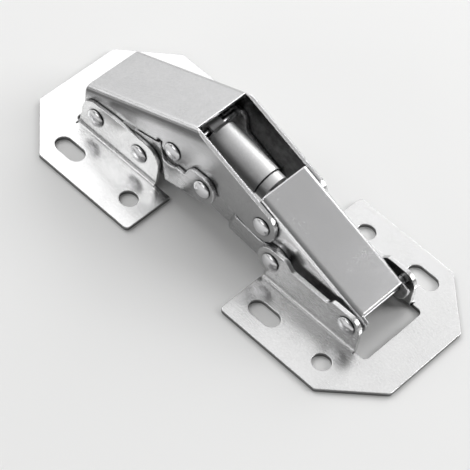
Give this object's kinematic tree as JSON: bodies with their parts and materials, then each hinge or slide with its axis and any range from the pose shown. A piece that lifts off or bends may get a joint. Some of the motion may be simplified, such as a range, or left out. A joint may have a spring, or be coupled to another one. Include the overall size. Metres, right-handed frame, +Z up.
{
  "type": "concealed hinge",
  "caption": "Concealed folding hinge: octagonal screw plates with bent ears, joined by channel arms, side links and levers on riveted pivots, with a small damper between the arms.",
  "frame": {"origin": "middle of the hinge's length and width, on the board under the plates", "axes": "+X from the cabinet plate to the door plate, +Y across the hinge, +Z up off the board"},
  "size_m": [0.1272, 0.055, 0.0306],
  "materials": {
    "plate_steel": "bright nickel plated sheet, satin",
    "arm_steel": "nickel plated sheet, satin",
    "link_steel": "nickel plated sheet, satin",
    "pin_steel": "bright plated pins and rivets",
    "damper_shell": "plated drawn tube",
    "rod_steel": "ground and polished rod",
    "piston_plastic": "moulded",
    "seal_rubber": "moulded"
  },
  "bodies": {
    "cabinet_side": {"cabinet_plate": "plate_steel", "cabinet_arm_pin": "pin_steel", "cabinet_link_rivet_near": "pin_steel", "cabinet_link_rivet_far": "pin_steel"},
    "outer_arm": {"outer_arm": "arm_steel", "arm_lever_pin": "pin_steel", "arm_arm_rivet_near": "pin_steel", "arm_arm_rivet_far": "pin_steel"},
    "cabinet_links": {"cabinet_link_near": "link_steel", "cabinet_link_far": "link_steel", "lever_link_rivet_near": "pin_steel", "lever_link_rivet_far": "pin_steel", "link_spacer_near": "pin_steel", "link_spacer_far": "pin_steel"},
    "levers": {"lever_near": "link_steel", "lever_far": "link_steel", "damper_pin_end_near": "pin_steel", "damper_pin_end_far": "pin_steel"},
    "inner_arm": {"inner_arm": "arm_steel", "damper_lower_pin": "pin_steel"},
    "door_side": {"door_plate": "plate_steel", "door_arm_pin": "pin_steel", "door_lever_rivet_near": "pin_steel", "door_lever_rivet_far": "pin_steel"},
    "damper_barrel": {"damper_cylinder": "damper_shell", "damper_collar": "damper_shell", "damper_seal": "seal_rubber", "damper_cross_bar": "pin_steel"},
    "damper_rod": {"damper_rod": "rod_steel", "damper_piston": "piston_plastic"}
  },
  "joints": [
    {"name": "fold", "type": "hinge", "parent": "cabinet_side", "child": "outer_arm", "pos_m": [-0.04538, 0, 0.00769], "axis": [0, -1, 0], "range_deg": [0, 75]},
    {"name": "lever_swing", "type": "hinge", "parent": "outer_arm", "child": "levers", "pos_m": [-0.01941, 0, 0.01675], "axis": [0, -1, 0], "range_deg": [-88, 0]},
    {"name": "inner_arm_swing", "type": "hinge", "parent": "outer_arm", "child": "inner_arm", "pos_m": [0.0123, 0, 0.01614], "axis": [0, -1, 0], "range_deg": [-100, 0]},
    {"name": "link_swing", "type": "hinge", "parent": "cabinet_side", "child": "cabinet_links", "pos_m": [-0.02931, 0, 0.0077], "axis": [0, -1, 0], "range_deg": [0, 92.5]},
    {"name": "door_swing", "type": "hinge", "parent": "inner_arm", "child": "door_side", "pos_m": [0.04452, 0, 0.0082], "axis": [0, -1, 0], "range_deg": [0, 115]},
    {"name": "damper_swing", "type": "hinge", "parent": "inner_arm", "child": "damper_rod", "pos_m": [0.0162, 0, 0.0165], "axis": [0, -1, 0], "range_deg": [0, 109]},
    {"name": "damper_stroke", "type": "slide", "parent": "damper_rod", "child": "damper_barrel", "axis": [0.9828, 0, -0.1847], "range_m": [0, 0.0064]}
  ],
  "couplings": [
    {"joint": "lever_swing", "follows": "fold", "ratio": -1.1627},
    {"joint": "inner_arm_swing", "follows": "fold", "ratio": -1.3228},
    {"joint": "link_swing", "follows": "fold", "ratio": 1.2217},
    {"joint": "door_swing", "follows": "fold", "ratio": 1.5229},
    {"joint": "damper_swing", "follows": "fold", "ratio": 1.4471},
    {"joint": "damper_stroke", "follows": "fold", "m_per_rad": 0.00485}
  ]
}
